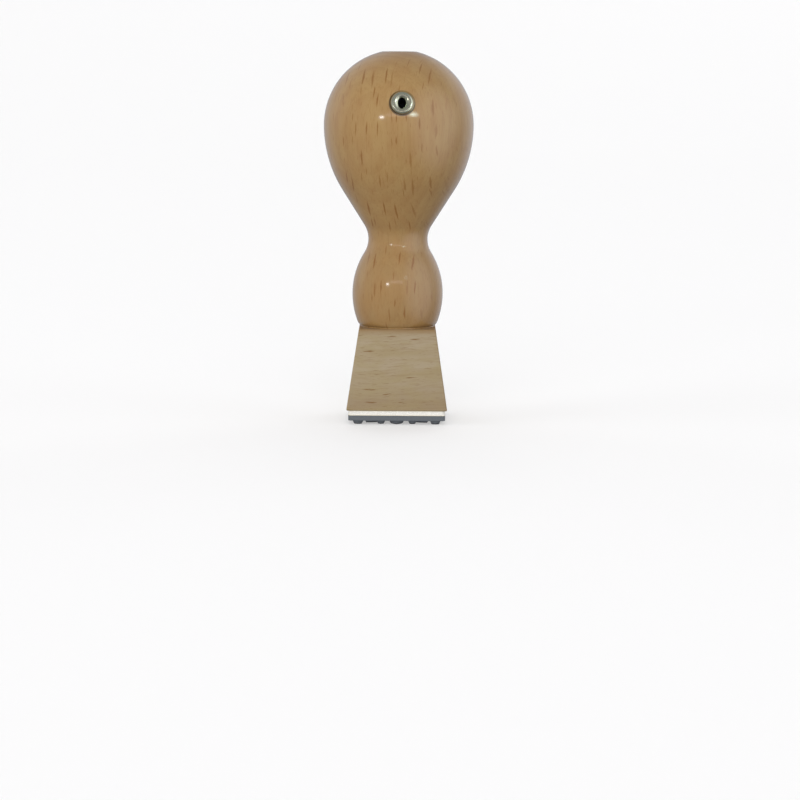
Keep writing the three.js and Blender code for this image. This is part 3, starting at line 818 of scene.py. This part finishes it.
def make_screw(material):
    """Countersunk screw with a cross recess and a cut thread."""
    cone_end = SCREW_HEAD_RIM + SCREW_HEAD_RADIUS - SCREW_SHANK_RADIUS
    length = SCREW_HIGH.z - SCREW_LOW.z
    screw = turned("countersunk_screw", [
        (0.0, 0.0), (SCREW_HEAD_RADIUS, 0.0), (SCREW_HEAD_RADIUS, SCREW_HEAD_RIM),
        (SCREW_SHANK_RADIUS, cone_end), (SCREW_SHANK_RADIUS, SCREW_SHANK_LENGTH),
        (SCREW_CORE_RADIUS, SCREW_SHANK_LENGTH + SCREW_CORE_RADIUS / 2),
        (SCREW_CORE_RADIUS, length - SCREW_POINT_LENGTH), (0.0, length)], SMALL_SEGMENTS, material)
    past = 0.1 * MM
    for turn in (0, pi / 2):
        mouth = [(x * RECESS_REACH, y * RECESS_HALF_WIDTH) for x, y in SQUARE]
        root = [(x * RECESS_ROOT[0], y * RECESS_ROOT[1]) for x, y in mouth]
        slot = lofted("slot", [(mouth, -past), (root, RECESS_DEPTH)], material)
        slot.data.transform(Matrix.Rotation(turn + pi / 4, 4, "Z"))
        boolean(screw, slot, "DIFFERENCE")
    rise = SCREW_SHANK_RADIUS - SCREW_CORE_RADIUS
    ridge = new_object("thread_ridge", [
        (THREAD_SUNK, -THREAD_ROOT_HALF, 0), (THREAD_SUNK, THREAD_ROOT_HALF, 0),
        (-rise, THREAD_CREST_HALF, 0), (-rise, -THREAD_CREST_HALF, 0),
    ], [(0, 1), (1, 2), (2, 3), (3, 0)], [])
    thread_length = length - SCREW_SHANK_LENGTH - 2 * THREAD_START
    modifier = ridge.modifiers.new("thread", "NODES")
    modifier.node_group = THREAD
    set_inputs(modifier, turns=thread_length / THREAD_PITCH, core_radius=SCREW_CORE_RADIUS,
               thread_length=thread_length, point_length=SCREW_POINT_LENGTH, finish=material)
    apply_modifiers(ridge)
    close_up(ridge)
    ridge.data.transform(Matrix.Translation((0, 0, SCREW_SHANK_LENGTH + THREAD_START)))
    take_in(screw, ridge)
    screw.data.transform(Matrix.Translation((0, 0, SCREW_LOW.z)))
    close_up(screw)
    return screw


def make_foam(material):
    """The cushion: its knife-cut sides are open, uneven cells and belly out a little under the films."""
    side = FOAM_HIGH.x - FOAM_LOW.x
    outline = rounded_square(side, DIE_CORNER, straight_steps=110, corner_steps=6)
    levels = 8
    layers = []
    for level in range(levels + 1):
        height = FOAM_LOW.z + (FOAM_HIGH.z - FOAM_LOW.z) * level / levels
        held = abs(2 * level / levels - 1)  # 1 at the films, which hold the foam, and 0 half-way between
        ring = []
        for x, y in outline:
            cell = noise.noise(Vector((x, y, height)) / FOAM_CELL)
            depth = FOAM_BELLY * held ** 4 + FOAM_CELL_DEPTH * (cell + 0.5) * (held < 1)
            inwards = 1 - depth / (side / 2)
            ring.append((x * inwards, y * inwards))
        layers.append((ring, height))
    foam = lofted("cut_foam_sheet", layers, material)
    close_up(foam, sharp_angle=radians(60))
    return foam


def petal_outline(grown):
    """A pointed petal along Y between two equal arcs, grown evenly on all sides."""
    half_length = (PETAL_OUTER - PETAL_INNER) / 2
    half_width = PETAL_WIDTH / 2
    side_radius = (half_length ** 2 + half_width ** 2) / (2 * half_width)
    centre = side_radius - half_width
    half = acos(centre / (side_radius + grown))
    steps = 16
    right = [(-centre + (side_radius + grown) * cos(a), (side_radius + grown) * sin(a))
             for a in (-half + 2 * half * i / steps for i in range(steps))]
    return right + [(-x, -y) for x, y in right]


def relief_walls():
    """Depth and widening of a raised shape: a worn edge, then a sloping shoulder down to its root."""
    root = RELIEF_DEPTH + ROOT_DEPTH
    return [(0.0, -WORN_EDGE), (WORN_EDGE, 0.0), (RELIEF_DEPTH, SHOULDER),
            (root, SHOULDER * root / RELIEF_DEPTH)]


def make_die(material):
    """Engraved rubber: a sheet with the raised blossom that prints."""
    def spot(radius, segments=32):
        wall = [(radius + widening, depth) for depth, widening in relief_walls()]
        return turned("spot", [(0.0, 0.0), *wall, (0.0, RELIEF_DEPTH + ROOT_DEPTH)], segments, material)

    side = DIE_HIGH.x - DIE_LOW.x
    rim = rounded_square(side, DIE_CORNER)
    inner = rounded_square(side - 2 * SOFT_EDGE, DIE_CORNER - SOFT_EDGE)
    die = lofted("engraved_rubber_die", [
        (inner, RELIEF_DEPTH), (rim, RELIEF_DEPTH + SOFT_EDGE),
        (rim, DIE_HIGH.z - SOFT_EDGE), (inner, DIE_HIGH.z)], material)
    petal = lofted("petal", [
        (petal_outline(widening), depth) for depth, widening in relief_walls()], material)
    ring_out = [(RING_OUTER + widening, depth) for depth, widening in relief_walls()]
    ring_in = [(RING_INNER - widening, depth) for depth, widening in reversed(relief_walls())]
    raised = [
        spot(EYE_RADIUS, SMALL_SEGMENTS),
        turned("ring", ring_out + ring_in, RING_SEGMENTS, material, closed=True),
        copied(petal, PETALS, (PETAL_INNER + PETAL_OUTER) / 2, 0.0, material),
        copied(spot(SEED_RADIUS), PETALS, SEED_CIRCLE, pi / PETALS, material),
        copied(spot(CORNER_SPOT_RADIUS), 4, CORNER_SPOT_OFFSET * sqrt(2), pi / 4, material),
    ]
    for shape in raised:
        boolean(die, shape, "UNION")
    close_up(die, sharp_angle=radians(35))
    return die


def keep(piece, body, slot, *nodes):
    """Gives a piece its body, and lets it stand for nodes of the frame. The slot is not used."""
    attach(piece, body)
    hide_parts(*nodes)


# Stage, light and camera

def make_stage():
    """A plain white bowl: a level floor that curves up far from the stamp, with no edge in view."""
    flat, rim, height = 1.3, 2.9, 1.6
    steps, segments = 18, 96
    profile = [(0.0, 0.0), (flat, 0.0)]
    for t in range(1, steps + 1):
        turn = t * pi / (2 * steps)
        profile.append((flat + (rim - flat) * sin(turn), height * (1 - cos(turn))))
    points = [(r * cos(2 * pi * i / segments), r * sin(2 * pi * i / segments), z)
              for r, z in profile[1:] for i in range(segments)]
    faces = [tuple(range(segments))]
    for level in range(len(profile) - 2):
        for i in range(segments):
            a, b = level * segments + i, level * segments + (i + 1) % segments
            faces.append((a, a + segments, b + segments, b))
    floor = new_object("floor", points, [], faces)
    for face in floor.data.polygons:
        face.use_smooth = True
    material, tree = new_material("matt_white_card")
    surface = node(tree, "ShaderNodeBsdfPrincipled", {
        "Base Color": linear("#b8b8b8"), "Roughness": 0.9, "Specular IOR Level": 0.0,
        "Emission Color": linear("#fefcf9"), "Emission Strength": FLOOR_GLOW})
    node(tree, "ShaderNodeOutputMaterial", {"Surface": surface.outputs[0]})
    floor.data.materials.append(material)
    # The stamp has its own, dimmer light, so the white floor neither lights it nor shows in its gloss
    floor.visible_diffuse = False
    floor.visible_glossy = False
    floor.visible_shadow = False


def add_lamp(name, kind, azimuth, elevation, distance=LAMP_DISTANCE, aim=LAMP_AIM):
    """A lamp that shines on the stamp from a direction."""
    data = bpy.data.lights.new(name, kind)
    lamp = bpy.data.objects.new(name, data)
    bpy.context.scene.collection.objects.link(lamp)
    direction = towards(radians(azimuth), radians(elevation))
    lamp.location = aim + direction * distance
    lamp.rotation_euler = direction.to_track_quat("Z", "Y").to_euler()
    lamp.visible_camera = False
    return lamp


def add_sun(azimuth, elevation, strength):
    """A broad, even light from far off, which shows in no gloss."""
    lamp = add_lamp("soft_sun", "SUN", azimuth, elevation)
    lamp.data.energy = strength * pi
    lamp.data.angle = radians(40)
    lamp.visible_glossy = False


def add_panel(name, azimuth, elevation, width, height, brightness, tint, spread=180,
              distance=LAMP_DISTANCE, aim=LAMP_AIM):
    """A bright panel that is so many degrees wide and high, seen from the stamp."""
    data = add_lamp(name, "AREA", azimuth, elevation, distance, aim).data
    data.shape = "RECTANGLE"
    data.size = 2 * distance * tan(radians(width / 2))
    data.size_y = 2 * distance * tan(radians(height / 2))
    data.energy = brightness * pi * data.size * data.size_y
    data.color = linear(tint)[:3]
    data.spread = radians(spread)


def make_room():
    """An even room for the wood's own colour, in which the gloss also sees brighter and darker parts."""
    world = bpy.data.worlds.new("soft_room")
    bpy.context.scene.world = world
    world.use_nodes = True
    tree = world.node_tree
    tree.nodes.clear()
    aim = node(tree, "ShaderNodeTexCoord").outputs["Generated"]
    seen = MIRRORED_LIGHT
    for azimuth, elevation, inner, outer, amount in MIRRORED_PARTS:
        middle = towards(radians(azimuth), radians(elevation))
        nearness = node(tree, "ShaderNodeVectorMath", {0: aim, 1: middle},
                        operation="DOT_PRODUCT").outputs["Value"]
        part = node(tree, "ShaderNodeMapRange", {
            "Value": nearness, "From Min": cos(radians(outer)), "From Max": cos(radians(inner)),
            "To Max": amount}, interpolation_type="SMOOTHSTEP").outputs[0]
        seen = node(tree, "ShaderNodeMath", {0: seen, 1: part}, operation="ADD").outputs[0]
    gloss = node(tree, "ShaderNodeLightPath").outputs["Is Glossy Ray"]
    light = node(tree, "ShaderNodeMapRange", {
        "Value": gloss, "To Min": ROOM_LIGHT, "To Max": seen}).outputs[0]
    room = node(tree, "ShaderNodeBackground", {"Color": linear("#f6f8ff"), "Strength": light})
    node(tree, "ShaderNodeOutputWorld", {"Surface": room.outputs[0]})


def make_light():
    make_room()
    for sun in SUNS:
        add_sun(*sun)
    for lamp in LAMPS:
        add_panel("lamp", *lamp)
    add_panel("grid_lamp", *GRID_LAMP, distance=GRID_LAMP_DISTANCE, aim=GRID_LAMP_AIM)
    bpy.context.scene.view_settings.view_transform = "Standard"


def make_camera():
    data = bpy.data.cameras.new("camera")
    data.lens = LENS
    data.sensor_width = SENSOR_WIDTH
    camera = bpy.data.objects.new("camera", data)
    bpy.context.scene.collection.objects.link(camera)
    camera.location = CAMERA_PLACE
    look = (CAMERA_AIM - CAMERA_PLACE).to_track_quat("-Z", "Y").to_matrix()
    camera.rotation_euler = (look @ Matrix.Rotation(CAMERA_ROLL, 3, "Z")).to_euler()
    bpy.context.scene.camera = camera


make_camera()
make_light()
make_stage()
LATHE = lathe_tree()
COPIES = copies_tree()
THREAD = thread_tree()

handle_wood = beech("beech_turned_gloss_lacquer", grain_turn=(0, 0, radians(14)), tones=HANDLE_TONES,
                    lower_end=(54, 44), large_rays=HANDLE_RAYS, finish=lacquered)
block_wood = beech("beech_sanded_bare", grain_turn=(radians(10), radians(90), 0), tones=BLOCK_TONES,
                   lower_end=(13, 5), large_rays=BLOCK_RAYS, finish=bare)
# Painted shade for the inside of the front mark's hole
bore_painted_shade = make_bore_painted_shade()
rubber = make_rubber()
tape = make_tape()
foam = make_foam(make_foam_material())
keep(make_handle(handle_wood, bore_painted_shade), "root", "lacquered_beech", "handle")
keep(make_mark(make_nickel(), bore_painted_shade), "root", "nickel_plate", "front_mark_eyelet")
keep(make_block(block_wood), "root", "bare_beech", "mount_block")
keep(make_screw(make_zinc()), "root", "zinc_steel", "handle_screw")
keep(foam, "root", "foam", "foam_cushion")
keep(make_die(rubber), "root", "die_rubber", "rubber_die")
for film in ("block_adhesive_film", "die_adhesive_film"):
    bpy.data.objects[film].material_slots[0].material = tape
